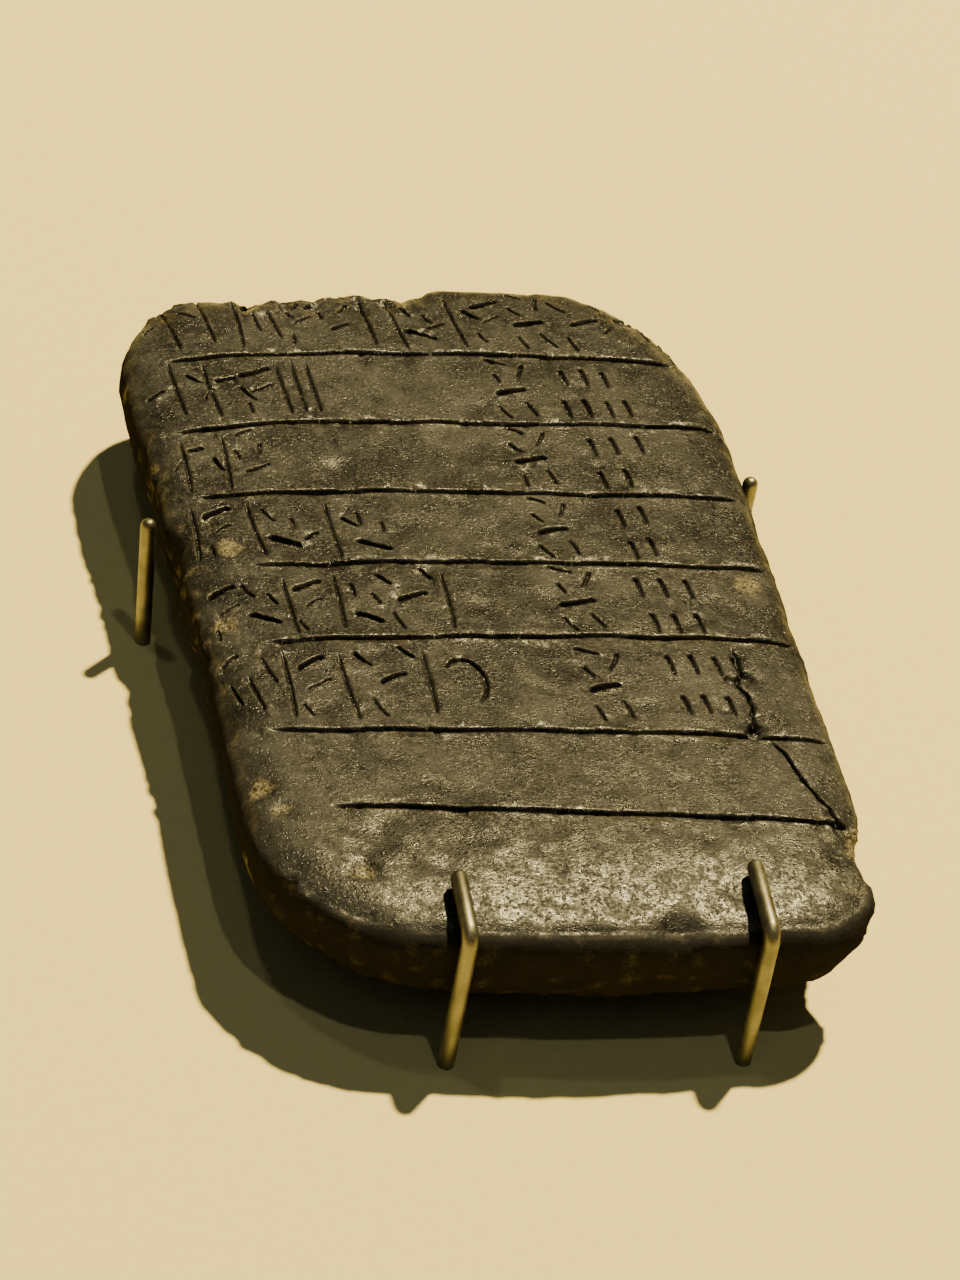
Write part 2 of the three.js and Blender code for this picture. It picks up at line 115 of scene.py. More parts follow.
# The inscription: ruled lines and generic strokes in the places of the solid's, with most lines drawn a
# little closer to the right edge. Places are millimetres from the page's middle. A stroke of a mark gives x
# and the share of the row's height at each end, then its weight.
HALF_LENGTH = 80.5
TOP_MARGIN = 21.9
ROW_PITCHES = [19.6, 18.9, 18.3, 18.0, 18.7, 20.7, 17.5]
RULE_TILTS = [0, 0, 0, 0, 0.8, -2.6, -4.6]
RULE_DIPS = [2.5, 2.4, 0.4, 0, 0, 0, 0]
RULE_STARTS = [3.7, 2.4, 3.2, 9.4, 8.4, 6, 12.7]
RULE_ENDS = [5, 1.9, 2.2, 2, 1.7, 1.9, 3.4]
HALF_WIDTH = 47.7
MARKS = {
    "post": [(0, 0.86, 0.6, 0.08, 0.7)],
    "notchedPost": [(0, 0.92, 0.6, 0.08, 0.7), (-4.6, 0.36, -1.9, 0.47, 1), (2.3, 0.68, 4.4, 0.54, 0.9)],
    "bars": [(-2.8, 0.66, 2.4, 0.8, 1.4), (-1.4, 0.44, 2, 0.56, 0.7), (-2.6, 0.3, -1.8, 0.14, 0.6)],
    "lowBars": [(-2.8, 0.36, 2.4, 0.22, 1.4), (-2.4, 0.76, -1.2, 0.56, 0.6), (1, 0.62, 2.2, 0.46, 0.7)],
    "shower": [(-4.2, 0.74, -0.6, 0.86, 1.1), (-3.2, 0.56, -2, 0.3, 0.7), (-0.2, 0.62, 1, 0.2, 0.7),
               (2.4, 0.84, 3.6, 0.5, 0.6)],
    "spray": [(-4.6, 0.86, -2.4, 0.7, 0.9), (4.4, 0.78, 2.2, 0.92, 0.9), (-2.2, 0.5, 3.2, 0.62, 1.3),
              (-3.2, 0.36, -2.2, 0.12, 0.7)],
    "knot": [(-2, 0.84, 1.6, 0.92, 0.8), (-2.8, 0.66, -1.6, 0.5, 0.7), (2.6, 0.74, 1.2, 0.58, 0.8),
             (-1, 0.34, 2.4, 0.44, 1)],
    "steps": [(-4, 0.34, -2.2, 0.5, 0.8), (-1.6, 0.6, 1.4, 0.64, 1), (2.4, 0.52, 3.8, 0.3, 0.8)],
    "sheaf": [(-3.2, 0.93, 0.4, 0.85, 0.9), (3, 0.88, 1.7, 0.66, 0.8), (-2.6, 0.72, -1.4, 0.58, 0.8),
              (-3.3, 0.42, 3, 0.5, 1.5), (-2.8, 0.28, -1.6, 0.08, 0.7), (1.4, 0.34, 3.2, 0.12, 0.7)],
}
ROWS = [
    [("notchedPost", -41), ("post", -35), ("post", -30), ("shower", -24), ("bars", -19),
     ("knot", -13.5), ("post", -8.2), ("post", -3.5), ("lowBars", 0.5), ("notchedPost", 6.5),
     ("bars", 12.8), ("sheaf", 19.4), ("spray", 28.4), ("steps", 36)],
    [("notchedPost", -42.5), ("post", -37), ("steps", -34), ("bars", -29), ("post", -25.3),
     ("post", -22.8), ("post", -20.4), ("sheaf", 12.6)],
    [("steps", -41.5), ("knot", -33.2), ("post", -37.6), ("post", -44), ("sheaf", 12.2)],
    [("bars", -40.5), ("post", -45), ("post", -35.4), ("lowBars", -31), ("notchedPost", -23.5),
     ("lowBars", -17), ("sheaf", 12.2)],
    [("bars", -42.5), ("lowBars", -37), ("post", -33.2), ("bars", -29.4), ("post", -25.6),
     ("lowBars", -21), ("spray", -14), ("post", -8.6), ("sheaf", 12.4)],
    [("shower", -41.5), ("post", -36.4), ("bars", -31.8), ("post", -27.4), ("spray", -20.4),
     ("post", -15), ("curl", -9), ("sheaf", 12.6)],
]
TALLIES = [
    ([], []),
    ([21.6, 25.2, 28.6], [20.6, 24, 27.6, 30.8]),
    ([22.6, 26.3, 30.6], [22.6, 26.8]),
    ([23.4, 27.2], [23.8, 27]),
    ([22.6, 26.5, 30.6], [23.4, 26.8, 30.6]),
    ([23.5, 27.2, 31, 34], [24, 27.2, 31]),
]
TALLY_SHARES = (0.84, 0.38)  # tops of the two lines of tallies, as shares of the row's height
TALLY_LENGTH = 5.2
TALLY_SLANT = 0.6
CURL_RADIUS = 5.2
STROKE_DRIFT = 0.5  # how far the ends of a stroke stray along the row
STROKE_BOW = 0.28
TALLY_BOW = 0.15
SHIFT = 0.04  # how far a mark strays up or down, as a share of the row's height
CRACK_WAVER = 0.3
RULE_STEPS = 28
CRACKS = [
    [(35, -15.7), (34.6, -23), (33.4, -25.5), (34.8, -29.9), (33.8, -36.1)],
    [(36, -37.9), (38, -46.3), (40, -51.5), (41.6, -56), (42.4, -59)],
]


def uneven(seed):
    return 2 * ((math.sin(seed * 12.9898) * 43758.5453) % 1) - 1


def rule_y(line):
    return HALF_LENGTH - TOP_MARGIN - sum(ROW_PITCHES[1:line + 1])


def row_y(row, share):
    return rule_y(row) + ROW_PITCHES[row] * share


# Each kind of groove has a width, a depth and the height of the clay pushed up beside it. A heavy stroke's
# width and depth grow with its weight, and a stroke below the least weight is a scratch.
GROOVE_KINDS = {
    "rule": (1.35, 1.0, 0.12),
    "stroke": (1.05, 0.8, 0.14),
    "curl": (1.0, 0.7, 0.14),
    "tally": (1.1, 0.75, 0.10),
    "scratch": (0.75, 0.45, 0.11),
    "crack": (0.8, 1.1, 0.0),
}
LEAST_WEIGHT = 0.8
grooves = []


def add_groove(points, kind, weight=1.0):
    width, depth, _ = GROOVE_KINDS[kind]
    grooves.append((np.array(points, float), width * weight / 2, depth * weight, kind))


def bowed(start, end, bow):
    start, end = np.array(start, float), np.array(end, float)
    across = np.array([start[1] - end[1], end[0] - start[0]]) / max(np.linalg.norm(end - start), 1e-6)
    return [start + (end - start) * t + across * bow * math.sin(math.pi * t) for t in np.linspace(0, 1, 6)]


for line, tilt in enumerate(RULE_TILTS):
    start, end = -HALF_WIDTH + RULE_STARTS[line], HALF_WIDTH - RULE_ENDS[line]
    route = []
    for i in range(RULE_STEPS + 1):
        share = i / RULE_STEPS
        waver = 0.25 * math.sin(line * 2.1 + share * 9) * math.sin(share * 17 + line)
        waver += 0.1 * uneven(line * 31 + i)
        dip = RULE_DIPS[line] * max(0, 1 - share / 0.4) ** 2
        route.append((start + (end - start) * share, rule_y(line) + tilt * share - dip + waver))
    add_groove(route, "rule")
for row, signs in enumerate(ROWS):
    for place, (name, x) in enumerate(signs):
        if name == "curl":
            turns = [math.radians(v) for v in np.linspace(150, -70, 15)]
            middle = row_y(row, 0.5)
            arc = [(x + 0.6 * CURL_RADIUS * math.cos(v), middle + CURL_RADIUS * math.sin(v)) for v in turns]
            add_groove(arc, "curl")
            continue
        shift = SHIFT * uneven(row * 31 + place)
        for n, (x0, y0, x1, y1, weight) in enumerate(MARKS[name]):
            stray = uneven(row * 57 + place * 7 + n)
            start = (x + x0 + STROKE_DRIFT * stray, row_y(row, y0 + shift))
            end = (x + x1 - STROKE_DRIFT * stray, row_y(row, y1 + shift))
            route = bowed(start, end, STROKE_BOW * stray)
            if weight >= LEAST_WEIGHT:
                add_groove(route, "stroke", weight)
            else:
                add_groove(route, "scratch")
    drop = TALLY_LENGTH / ROW_PITCHES[row]
    for places, share in zip(TALLIES[row], TALLY_SHARES):
        for place, x in enumerate(places):
            top = share + SHIFT * uneven(row * 17 + place)
            start, end = (x, row_y(row, top)), (x + TALLY_SLANT, row_y(row, top - drop))
            add_groove(bowed(start, end, TALLY_BOW), "tally")
for crack in CRACKS:
    ragged = []
    for (ax, ay), (bx, by) in zip(crack, crack[1:]):
        for t in np.linspace(0, 1, 5)[:-1]:
            ragged.append((ax + (bx - ax) * t, ay + (by - ay) * t))
    ragged.append(crack[-1])
    wavers = [(CRACK_WAVER * uneven(i * 3.1), CRACK_WAVER * uneven(i * 5.3)) for i in range(len(ragged))]
    add_groove([(x + dx, y + dy) for (x, y), (dx, dy) in zip(ragged, wavers)], "crack")


def along_path(points, x, y):
    """How far each point (x, y) is from the path, how far along it, and on which side."""
    best = np.full(x.shape, 1e9)
    share = np.zeros(x.shape)
    side = np.zeros(x.shape)
    lengths = np.linalg.norm(np.diff(points, axis=0), axis=1)
    total = lengths.sum()
    done = 0.0
    for a, b, length in zip(points, points[1:], lengths):
        direction = (b - a) / max(length, 1e-9)
        t = np.clip((x - a[0]) * direction[0] + (y - a[1]) * direction[1], 0, length)
        dx, dy = x - a[0] - direction[0] * t, y - a[1] - direction[1] * t
        far = np.hypot(dx, dy)
        nearer = far < best
        best = np.where(nearer, far, best)
        share = np.where(nearer, (done + t) / total, share)
        side = np.where(nearer, np.sign(direction[0] * dy - direction[1] * dx), side)
        done += length
    return best, share, side


def page_coordinates(thing):
    mesh = thing.data
    places = np.empty(len(mesh.vertices) * 3)
    mesh.vertices.foreach_get("co", places)
    places = places.reshape(-1, 3) / MM
    normals = np.empty(len(mesh.vertices) * 3)
    mesh.vertices.foreach_get("normal", normals)
    return places - np.array([PAGE_X, PAGE_Y, 0]), normals.reshape(-1, 3)


def set_coordinates(thing, page):
    thing.data.vertices.foreach_set("co", ((page + np.array([PAGE_X, PAGE_Y, 0])) * MM).ravel())
    thing.data.update()


def smoothstep(low, high, value):
    t = np.clip((value - low) / (high - low), 0, 1)
    return t * t * (3 - 2 * t)


# The even mesh still shows traces of the cuts, so the face is first closed over: the highest clay within
# reach, then the lowest of that, then a blur, read back by its place on a fine grid.
PITCH = 1.0
CELLS = (int(2 * HALF_WIDTH / PITCH) + 12, int(2 * HALF_LENGTH / PITCH) + 12)


def cell_of(x, y):
    return (x + HALF_WIDTH + 5) / PITCH, (y + HALF_LENGTH + 5) / PITCH


def spread(grid, reach, pick):
    result = grid.copy()
    for i in range(-reach, reach + 1):
        for j in range(-reach, reach + 1):
            if i * i + j * j <= reach * reach:
                result = pick(result, np.roll(grid, (i, j), (0, 1)))
    return result


def face_heights(page, normals):
    top = (page[:, 2] > 15) & (normals[:, 2] > 0.2)
    i, j = (np.floor(v).astype(int) for v in cell_of(page[top, 0], page[top, 1]))
    grid = np.zeros(CELLS)
    np.maximum.at(grid, (i, j), page[top, 2])
    grid = np.where(grid < 1, spread(grid, 1, np.maximum), grid)
    closed = spread(spread(grid, 3, np.maximum), 3, np.minimum)
    closed = np.maximum(closed, grid)
    known = (closed > 1).astype(float)
    total, weight = np.zeros(CELLS), np.zeros(CELLS)
    for i in range(-3, 4):
        for j in range(-3, 4):
            share = math.exp(-(i * i + j * j) / 6)
            total += share * np.roll(closed * known, (i, j), (0, 1))
            weight += share * np.roll(known, (i, j), (0, 1))
    return total / np.maximum(weight, 1e-6)


def sample(grid, x, y):
    u, v = cell_of(x, y)
    u, v = np.clip(u - 0.5, 0, CELLS[0] - 2), np.clip(v - 0.5, 0, CELLS[1] - 2)
    i, j = u.astype(int), v.astype(int)
    fu, fv = u - i, v - j
    return ((grid[i, j] * (1 - fu) + grid[i + 1, j] * fu) * (1 - fv)
            + (grid[i, j + 1] * (1 - fu) + grid[i + 1, j + 1] * fu) * fv)


page, normals = page_coordinates(tablet)
heights = face_heights(page, normals)
RIM = 5.0  # the smooth face begins this far in from the outline
smooth_z = sample(heights, page[:, 0], page[:, 1])
on_face = (normals[:, 2] > 0.35) & (page[:, 2] > 20)
inside = smoothstep(RIM - 3, RIM, HALF_WIDTH - np.abs(page[:, 0]))
inside *= smoothstep(RIM - 2, RIM + 1, HALF_LENGTH - np.abs(page[:, 1]))
lift = np.where(on_face & (smooth_z > 20), inside * np.clip(smooth_z - page[:, 2], -0.3, 1.2), 0)
page[:, 2] += lift
set_coordinates(tablet, page)


# The mesh is made finer near the grooves only, in three rounds.
def refine_near_grooves(thing, reach):
    mesh = thing.data
    centres = np.empty(len(mesh.polygons) * 3)
    mesh.polygons.foreach_get("center", centres)
    centres = centres.reshape(-1, 3) / MM - np.array([PAGE_X, PAGE_Y, 0])
    facing = np.empty(len(mesh.polygons) * 3)
    mesh.polygons.foreach_get("normal", facing)
    face = (centres[:, 2] > 19) & (facing.reshape(-1, 3)[:, 2] > 0.3)
    near = np.zeros(len(centres), bool)
    for points, half, depth, kind in grooves:
        low, high = points.min(0) - reach - half, points.max(0) + reach + half
        within = np.all((centres[:, :2] > low) & (centres[:, :2] < high), axis=1)
        box = np.flatnonzero(face & within)
        far, _, _ = along_path(points, centres[box, 0], centres[box, 1])
        near[box[far < reach + half]] = True
    only(thing)
    bpy.ops.object.mode_set(mode="EDIT")
    bpy.ops.mesh.select_mode(type="FACE")
    bpy.ops.mesh.select_all(action="DESELECT")
    bpy.ops.object.mode_set(mode="OBJECT")
    mesh.polygons.foreach_set("select", near)
    bpy.ops.object.mode_set(mode="EDIT")
    bpy.ops.mesh.subdivide(number_cuts=1, smoothness=0.0)
    bpy.ops.object.mode_set(mode="OBJECT")


refine_near_grooves(tablet, 0.6)
refine_near_grooves(tablet, 0.3)
refine_near_grooves(tablet, 0.05)


def noise_at(points, scale, octaves=4, shift=0.0):
    """Fractal noise, about -1 to 1, whose largest lumps are about scale millimetres across."""
    offset = Vector((shift, shift * 0.7, -shift))
    return np.array([noise.fractal(Vector(p) / scale + offset, 0.9, 2.1, octaves) for p in points])


page, normals = page_coordinates(tablet)
x, y, z = page.T
face_share = smoothstep(0.55, 0.85, normals[:, 2]) * smoothstep(19, 22, z)
side_share = 1 - face_share
broad = noise_at(page, 26, 3)
middle = noise_at(page, 7, 4, 3.0)
fine = noise_at(page, 2.2, 3, 9.0)

# Broken ground on the left flank, the top edge and the lost piece at the right is rougher than the clay
# that was smoothed by hand. Each share rises or falls between two places on the page.
left_break = smoothstep(-32, -42, x) * smoothstep(-28, -14, y) * (1 - smoothstep(30, 56, y))
left_break *= 1 - 0.7 * face_share
top_break = smoothstep(66, 72, y) * (1 - smoothstep(-2, 4, x)) * smoothstep(-34, -26, x)
right_break = smoothstep(38, 41, x) * smoothstep(-76, -70, y) * (1 - smoothstep(-56, -53, y))
front_break = smoothstep(-60, -70, y) * side_share * 0.35
rolled = smoothstep(0.25, 0.5, normals[:, 2]) * (1 - smoothstep(0.75, 0.95, normals[:, 2]))
left_rim = 0.5 * rolled * smoothstep(-30, -40, x)
rough = np.clip(left_break + top_break + right_break + front_break + left_rim, 0, 1)

# The clay is pushed along its normals by millimetres: broad swells, smaller dents and a fine grain, both
# stronger on the sides, a fall of the face towards the front edge, and ridges where it is broken.
FALL = 2.1
FALL_START = -56
FALL_LENGTH = 24
push = 0.26 * broad + 0.12 * middle * (0.7 + 1.6 * side_share) + 0.05 * fine * (0.6 + 1.6 * side_share)
turned = smoothstep(0.0, 0.9, normals[:, 2]) * smoothstep(14, 22, z)
push -= FALL * np.clip((FALL_START - y) / FALL_LENGTH, 0, 1) ** 2 * turned
ridges = 1 - np.abs(noise_at(page, 5.5, 5, 21.0))
push += rough * (1.5 * (ridges - 0.8) + 0.3 * fine)

# Flakes are thin scales of the surface that have come away, with a crisp edge. Those that stand out are
# listed as x, y and radius, and so are the deeper dents, with a depth.
flake_noise = noise_at(page, 9, 5, 40.0)
flake_edge = np.percentile(flake_noise[face_share > 0.5], 90)
flakes = smoothstep(flake_edge, flake_edge + 0.04, flake_noise) * face_share
scales = [
    (-5.8, 31.1, 4.4), (-8.1, 36.4, 3.0), (-3.5, 25.9, 3.2), (4.8, -2.2, 4.4), (2.4, 1.2, 2.6),
    (7.2, -5.9, 2.6), (-19.5, 24, 2.8), (22, 44, 3.0), (-30, 6, 2.4), (27, -46, 3.4),
]
for sx, sy, radius in scales:
    ragged = np.hypot(x - sx, y - sy) / radius + 0.5 * middle + 0.25 * fine
    flakes = np.maximum(flakes, (1 - smoothstep(0.9, 1.0, ragged)) * face_share)
dents = [
    (-20, 28, 2.4, 0.3), (-31.5, -66.6, 2.2, 1.2), (33, -24.7, 1.3, 0.9), (35.6, -23.8, 1.4, 1.1),
    (33.9, -36.5, 1.6, 1.6), (13.5, -78.5, 3.0, 0.8), (24, -73.5, 2.6, 0.3), (-28, -61.5, 2.4, 0.3),
    (-43.5, -48, 2.0, 0.5), (-41.3, -53.4, 2.0, 0.5),
]
dent_depth = np.zeros(len(page))
for dx, dy, radius, depth in dents:
    ragged = np.hypot(x - dx, y - dy) / radius + 0.35 * middle
    dent_depth = np.maximum(dent_depth, depth * (1 - smoothstep(0.55, 1.0, ragged)) * (z > 16))
push -= flakes * (0.2 + 0.12 * fine) + dent_depth

# Small pits are scattered all over the face.
PITS = 420
PIT_DEPTH = 0.22
chance = np.random.default_rng(7)
pit_mask = np.zeros(len(page))
for _ in range(PITS):
    px, py = chance.uniform(-HALF_WIDTH, HALF_WIDTH), chance.uniform(-HALF_LENGTH, HALF_LENGTH)
    radius = chance.uniform(0.5, 1.3)
    box = np.flatnonzero((np.abs(x - px) < radius) & (np.abs(y - py) < radius) & (face_share > 0.5))
    far = np.hypot(x[box] - px, y[box] - py) / radius
    pit_mask[box] = np.maximum(pit_mask[box], 1 - smoothstep(0.2, 1.0, far))
push -= PIT_DEPTH * pit_mask

# A groove is a V with a soft floor, deepest near its start, with clay pushed up beside it. A ruled line has
# most of that on its lower side.
cut = np.zeros(len(page))
lip = np.zeros(len(page))
groove_face = (z > 19) & (normals[:, 2] > 0.3)
for points, half, depth, kind in grooves:
    reach = half + 1.4
    low, high = points.min(0) - reach, points.max(0) + reach
    box = np.flatnonzero(groove_face & (x > low[0]) & (x < high[0]) & (y > low[1]) & (y < high[1]))
    if not len(box):
        continue
    far, share, side = along_path(points, x[box], y[box])
    first, last = (0.06, 0.97) if kind == "rule" else (0.16, 0.9)
    ends = smoothstep(0, first, share) * (1 - smoothstep(last, 1, share))
    if kind in ("stroke", "curl", "tally"):
        ends = ends * (1.05 - (0.65 if kind == "tally" else 0.45) * share)
    if kind == "rule":
        ends = ends * (0.93 + 0.12 * np.sin(share * 23 + points[0, 1]))
    wide = half * (0.45 + 0.55 * ends)
    ratio = far / np.maximum(wide, 1e-6)
    shape = 1 - smoothstep(0.4, 1.0, ratio)
    cut[box] = np.maximum(cut[box], depth * ends * shape)
    lower = np.where(side < 0, 1.0, 0.45) if kind == "rule" else 0.7
    burr = np.exp(-((far - wide - 0.13) / 0.15) ** 2) * ends * lower
    _, _, lip_height = GROOVE_KINDS[kind]
    lip[box] = np.maximum(lip[box], lip_height * burr * (0.7 + 0.6 * fine[box]))
push += np.where(cut > 0.05, 0, lip) - cut
page += normals * push[:, None]
page[:, 2] = np.maximum(page[:, 2], 0.0)
set_coordinates(tablet, page)


def store(thing, name, values):
    attribute = thing.data.attributes.new(name, "FLOAT", "POINT")
    attribute.data.foreach_set("value", np.asarray(values, np.float32))


# Painted shade: this mask darkens the sides that face away from the lamps, and also makes them rougher and
# less glossy.
store(tablet, "flank_shade", 1 - smoothstep(0.35, 0.93, normals[:, 2]))
# Painted shade: this mask darkens the floors of the grooves.
store(tablet, "groove_shade", smoothstep(0.05, 0.42, cut))
# Painted highlight: this mask lightens the clay pushed up beside the grooves.
store(tablet, "lip_highlight", np.clip(lip / 0.15, 0, 1))
store(tablet, "flaked", np.clip(flakes + dent_depth / 0.4, 0, 1))

# Places where the dark skin has gone and tan clay shows, as x, y, z and radius.
spots = [
    (-49, 53, 20, 1.6), (-47.6, 31, 21, 1.9), (-40, 8.1, 24, 1.7), (-43.2, -10.4, 23.5, 1.9),
    (-25, 72, 23, 1.6), (-43.5, -48, 23, 1.5), (-41.3, -53.4, 23, 1.3), (-31.5, -66.6, 22, 2.6),
    (41, -1.3, 23.5, 2.4), (43.5, 3, 22, 2.0), (45.5, -61, 21, 4.5), (-39, -63, 14, 2.4),
    (-33, -68, 14, 2.6), (-25, -74, 14, 2.0), (-45, -56, 14, 2.2), (-37, -66, 18, 1.6),
    (-29, -72, 18, 1.8), (-8, 79, 20, 3.0), (-2, 76, 20, 3.6), (-22, 74, 19, 3.6),
]
tan = np.zeros(len(page))
for sx, sy, sz, radius in spots:
    far = np.sqrt((x - sx) ** 2 + (y - sy) ** 2 + (z - sz) ** 2) / radius
    tan = np.maximum(tan, 1 - smoothstep(0.7, 1.0, far + 0.5 * middle + 0.5 * fine))
chips = rough * smoothstep(0.42, 0.5, noise_at(page, 2.4, 4, 33.0))
store(tablet, "broken", np.clip(tan + 0.5 * chips, 0, 1))

# Faces that add nothing to the form are merged, down to a fixed number of triangles.
TRIANGLES = 186000
triangles = sum(len(polygon.vertices) - 2 for polygon in tablet.data.polygons)
add_modifier(tablet, "DECIMATE", ratio=TRIANGLES / triangles)
for vertex in tablet.data.vertices:
    vertex.co.z = max(vertex.co.z, 0.0)
only(tablet)
bpy.ops.object.shade_smooth()


def linear(hex_colour):
    """An sRGB hex colour as linear red, green, blue and alpha."""
    parts = [int(hex_colour[i:i + 2], 16) / 255 for i in (1, 3, 5)]
    return [v / 12.92 if v <= 0.04045 else ((v + 0.055) / 1.055) ** 2.4 for v in parts] + [1.0]


def add_node(tree, kind, links=None, **settings):
    """Adds a node, sets its properties and socket values, and links its inputs."""
    node = tree.nodes.new(kind)
    for key, value in settings.items():
        setattr(node, key, value)
    for socket, source in (links or {}).items():
        if isinstance(source, bpy.types.NodeSocket):
            tree.links.new(source, node.inputs[socket])
        else:
            node.inputs[socket].default_value = source
    return node


def new_material(name):
    material = bpy.data.materials.new(name)
    material.use_nodes = True
    material.node_tree.nodes.clear()
    return material, material.node_tree


def ramp(tree, source, stops):
    node = add_node(tree, "ShaderNodeValToRGB", {"Fac": source})
    elements = node.color_ramp.elements
    while len(elements) < len(stops):
        elements.new(0.5)
    for element, (place, colour) in zip(elements, stops):
        element.position = place
        element.color = linear(colour) if isinstance(colour, str) else [colour] * 3 + [1.0]
    return node.outputs["Color"]


def mixed(tree, share, first, second):
    node = add_node(tree, "ShaderNodeMix", data_type="RGBA")
    for socket, source in zip((0, 6, 7), (share, first, second)):
        if isinstance(source, bpy.types.NodeSocket):
            tree.links.new(source, node.inputs[socket])
        elif isinstance(source, str):
            node.inputs[socket].default_value = linear(source)
        else:
            node.inputs[socket].default_value = source
    return node.outputs[2]


def maths(tree, operation, first, second):
    return add_node(tree, "ShaderNodeMath", {0: first, 1: second}, operation=operation).outputs[0]


def noise_map(tree, vector, millimetres, detail, roughness, distortion=0.0):
    """A noise pattern whose largest lumps are about so many millimetres across."""
    values = {"Vector": vector, "Scale": 1 / (millimetres * MM), "Detail": detail, "Roughness": roughness,
              "Distortion": distortion}
    return add_node(tree, "ShaderNodeTexNoise", values).outputs["Fac"]


def relief(tree, height, strength, millimetres, under=None):
    """Shallow relief that only turns the light, laid over the relief under it."""
    values = {"Height": height, "Strength": strength, "Distance": millimetres * MM}
    if under is not None:
        values["Normal"] = under
    return add_node(tree, "ShaderNodeBump", values).outputs[0]


def finish_surface(tree, values):
    surface = add_node(tree, "ShaderNodeBsdfPrincipled", values)
    add_node(tree, "ShaderNodeOutputMaterial", {"Surface": surface.outputs[0]})


# Burnt clay is dark grey-brown, and rubbed smooth by hand so that it has a low sheen. Pale grit shows all
# over and tan clay where it is broken. The groove floors are painted near black as shade, the lips beside
# them painted lighter as highlight, and the sides painted darker as shade.
clay, tree = new_material("burnt_clay")
place = add_node(tree, "ShaderNodeTexCoord").outputs["Object"]
big = noise_map(tree, place, 32, 5, 0.6)
mid = noise_map(tree, place, 9, 7, 0.68, 0.4)
small = noise_map(tree, place, 2.6, 5, 0.7)
grit = noise_map(tree, place, 0.5, 3, 0.65)
colour = ramp(tree, big, [(0.36, "#191919"), (0.5, "#272726"), (0.64, "#353534")])
colour = mixed(tree, ramp(tree, mid, [(0.49, 0.0), (0.60, 0.5)]), colour, "#444443")
colour = mixed(tree, ramp(tree, mid, [(0.36, 0.7), (0.43, 0.0)]), colour, "#10100e")
colour = mixed(tree, ramp(tree, small, [(0.54, 0.0), (0.66, 0.35)]), colour, "#555450")
colour = mixed(tree, ramp(tree, small, [(0.34, 0.6), (0.44, 0.0)]), colour, "#0f0d08")
colour = mixed(tree, ramp(tree, grit, [(0.64, 0.0), (0.70, 0.6)]), colour, "#8a8473")
groove_shade = add_node(tree, "ShaderNodeAttribute", attribute_name="groove_shade").outputs["Fac"]
lip_highlight = add_node(tree, "ShaderNodeAttribute", attribute_name="lip_highlight").outputs["Fac"]
broken = add_node(tree, "ShaderNodeAttribute", attribute_name="broken").outputs["Fac"]
flank_shade = add_node(tree, "ShaderNodeAttribute", attribute_name="flank_shade").outputs["Fac"]
# Painted highlight: dots that break up the lips' painted highlight.
lip_highlight_dots = ramp(tree, noise_map(tree, place, 0.7, 2, 0.5), [(0.42, 0.05), (0.6, 0.6)])
flaked = add_node(tree, "ShaderNodeAttribute", attribute_name="flaked").outputs["Fac"]
colour = mixed(tree, maths(tree, "MULTIPLY", flaked, 0.55), colour, "#171715")
# Painted shade: the sides are painted darker, as they fall in shade.
colour = mixed(tree, maths(tree, "MULTIPLY", flank_shade, 0.9), colour, "#201f1f")
tan = ramp(tree, grit, [(0.38, "#28251d"), (0.6, "#8e856c")])
colour = mixed(tree, maths(tree, "MULTIPLY", broken, 0.8), colour, tan)
# Painted highlight: the lips beside the grooves are painted lighter, in dots.
colour = mixed(tree, maths(tree, "MULTIPLY", lip_highlight, lip_highlight_dots), colour, "#6e6751")
# Painted shade: the groove floors are painted near black.
colour = mixed(tree, maths(tree, "MULTIPLY", groove_shade, 0.9), colour, "#080604")
stretched = add_node(tree, "ShaderNodeMapping", {"Vector": place, "Scale": (0.7, 1.0, 1.0)}).outputs[0]
wrinkles = noise_map(tree, stretched, 0.36, 3, 0.55)
grains = ramp(tree, noise_map(tree, place, 0.6, 2, 0.5), [(0.55, 0.0), (0.72, 1.0)])
uneven_skin = relief(tree, wrinkles, 0.5, 0.14)
uneven_skin = relief(tree, grains, 0.6, 0.12, uneven_skin)
uneven_skin = relief(tree, small, 0.3, 0.3, uneven_skin)
shine = ramp(tree, noise_map(tree, place, 0.5, 2, 0.5), [(0.36, 0.17), (0.6, 0.38)])
dull = ramp(tree, noise_map(tree, place, 3, 7, 0.76, 0.4), [(0.46, 0.0), (0.54, 1.0)])
shine = maths(tree, "ADD", shine, maths(tree, "MULTIPLY", dull, 0.14))
shine = maths(tree, "ADD", shine, maths(tree, "MULTIPLY", flank_shade, 0.45))
gloss = maths(tree, "SUBTRACT", 0.36, maths(tree, "MULTIPLY", dull, 0.2))
gloss = maths(tree, "MULTIPLY", gloss, maths(tree, "SUBTRACT", 1.0, flank_shade))
finish_surface(tree, {"Base Color": colour, "Roughness": shine, "Normal": uneven_skin, "IOR": 1.5,
                      "Specular IOR Level": gloss})
tablet.data.materials.append(clay)
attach(tablet, "root")
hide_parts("tablet")


# The four pins are lengths of brass wire. The front two are bent over the edge of the tablet, and the side
# two are straight with rounded tops. All stand in holes, so their feet end flat.
WIRE_RADIUS = 1.25 * MM
WIRE_SIDES = 32
BEND_RADIUS = 2.2 * MM
FINGER_RISE = 1.3 * MM  # a finger follows the clay up from its bend to its tip


def extrude(x=0.0, y=0.0, z=0.0):
    bpy.ops.mesh.extrude_region_move(TRANSFORM_OT_translate={"value": (x, y, z)})


